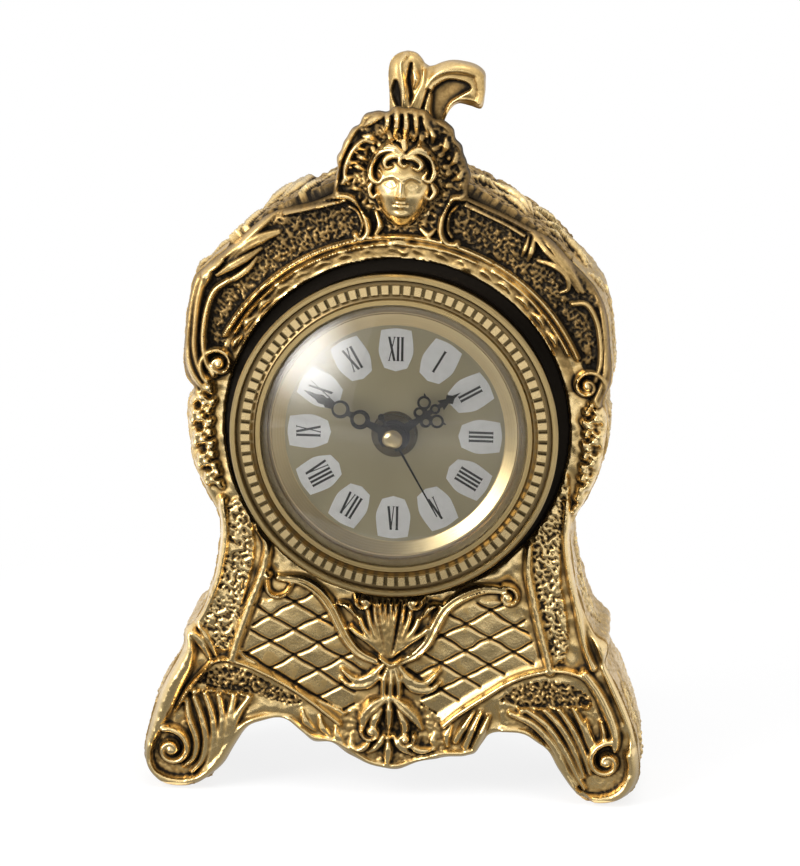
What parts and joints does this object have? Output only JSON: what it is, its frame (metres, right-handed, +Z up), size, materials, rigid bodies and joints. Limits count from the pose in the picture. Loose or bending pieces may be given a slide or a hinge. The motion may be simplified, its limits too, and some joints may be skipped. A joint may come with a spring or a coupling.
{
  "type": "table clock",
  "caption": "Table clock in a rococo brass case on scroll feet, with a domed glass, Roman plaques, pierced hands and a quartz gear train.",
  "frame": {"origin": "middle of the footprint's depth and width, on the surface that the feet stand on", "axes": "+Z up, +X to the viewer's right, the dial faces -Y"},
  "size_m": [0.14, 0.055, 0.2092],
  "materials": {
    "cast_brass": "antique cast brass, rubbed bright on the high places and dark in the hollows",
    "satin_gold": "lacquered satin gold, turned",
    "movement_brass": "plain turned brass",
    "steel": "zinc-plated steel",
    "core_steel": "stamped soft iron core",
    "glass": "clear domed glass",
    "black_rubber": "black rubber",
    "black_plastic": "moulded black plastic, finely textured",
    "dial_champagne": "champagne satin dial metal",
    "plaque_white": "pale plaques with black Roman numerals",
    "hand_black": "black painted sheet metal",
    "gear_plastic": "natural acetal",
    "magnet": "sintered magnet",
    "copper_wire": "enamelled copper wire in close turns",
    "board": "green circuit board",
    "chip_black": "cured black resin drop",
    "cell_jacket": "plain foil jacket with bare steel ends"
  },
  "bodies": {
    "case": {"front_casting": "cast_brass", "left_flank": "cast_brass", "right_flank": "cast_brass", "roof_band": "cast_brass", "crest_finial": "cast_brass", "crest_nut": "steel", "case_screws": "steel", "bezel": "satin_gold", "beaded_ring": "satin_gold", "lens": "glass", "lens_gasket": "black_rubber", "reflector_ring": "satin_gold", "dial_cup": "black_plastic", "grip_band": "black_rubber", "dial_plate": "dial_champagne", "chapter_plaques": "plaque_white", "front_housing": "black_plastic", "rear_housing": "black_plastic", "train_plate": "movement_brass", "rubber_washer": "black_rubber", "brass_washer": "movement_brass", "bushing_nut": "movement_brass", "stator": "core_steel", "coil_bobbin": "gear_plastic", "coil_winding": "copper_wire", "circuit_board": "board", "quartz_can": "steel", "chip_blob": "chip_black", "positive_contact": "steel", "negative_contact": "steel"},
    "minute_arbor": {"minute_hand": "hand_black", "cannon_pinion": "gear_plastic"},
    "hour_arbor": {"hour_hand": "hand_black", "hour_wheel": "gear_plastic"},
    "minute_wheel_arbor": {"minute_wheel": "gear_plastic"},
    "setting_shaft": {"setting_knob": "black_plastic"},
    "second_arbor": {"second_hand": "hand_black", "second_cap": "satin_gold", "seconds_wheel": "gear_plastic"},
    "third_arbor": {"third_wheel": "gear_plastic"},
    "centre_arbor": {"centre_wheel": "gear_plastic"},
    "intermediate_arbor": {"intermediate_wheel": "gear_plastic"},
    "rotor": {"rotor_pinion": "gear_plastic", "rotor_magnet": "magnet"},
    "cell": {"battery": "cell_jacket"}
  },
  "joints": [
    {"name": "minute_turn", "type": "hinge", "parent": "case", "child": "minute_arbor", "pos_m": [0, 0, 0.106], "axis": [0, 1, 0], "continuous": true},
    {"name": "hour_turn", "type": "hinge", "parent": "case", "child": "hour_arbor", "pos_m": [0, 0, 0.106], "axis": [0, 1, 0], "continuous": true},
    {"name": "minute_wheel_turn", "type": "hinge", "parent": "case", "child": "minute_wheel_arbor", "pos_m": [0.003, 0, 0.1112], "axis": [0, 1, 0], "continuous": true},
    {"name": "knob_turn", "type": "hinge", "parent": "case", "child": "setting_shaft", "pos_m": [0.006, 0, 0.11639], "axis": [0, 1, 0], "continuous": true},
    {"name": "second_turn", "type": "hinge", "parent": "case", "child": "second_arbor", "pos_m": [0, 0, 0.106], "axis": [0, 1, 0], "continuous": true},
    {"name": "third_turn", "type": "hinge", "parent": "case", "child": "third_arbor", "pos_m": [0.00624, 0, 0.1024], "axis": [0, 1, 0], "continuous": true},
    {"name": "centre_turn", "type": "hinge", "parent": "case", "child": "centre_arbor", "pos_m": [0, 0, 0.106], "axis": [0, 1, 0], "continuous": true},
    {"name": "intermediate_turn", "type": "hinge", "parent": "case", "child": "intermediate_arbor", "pos_m": [-0.00457, 0, 0.10336], "axis": [0, 1, 0], "continuous": true},
    {"name": "rotor_turn", "type": "hinge", "parent": "case", "child": "rotor", "pos_m": [-0.00893, 0, 0.10031], "axis": [0, 1, 0], "continuous": true},
    {"name": "cell_slide", "type": "slide", "parent": "case", "child": "cell", "axis": [0, 1, 0], "range_m": [0, 0.04]}
  ],
  "couplings": [
    {"joint": "hour_turn", "follows": "minute_turn", "ratio": 0.083333},
    {"joint": "minute_wheel_turn", "follows": "minute_turn", "ratio": -0.33333},
    {"joint": "knob_turn", "follows": "minute_turn", "ratio": 1},
    {"joint": "third_turn", "follows": "second_turn", "ratio": -0.13333},
    {"joint": "centre_turn", "follows": "second_turn", "ratio": 0.016667},
    {"joint": "intermediate_turn", "follows": "second_turn", "ratio": -5},
    {"joint": "rotor_turn", "follows": "second_turn", "ratio": 30}
  ]
}
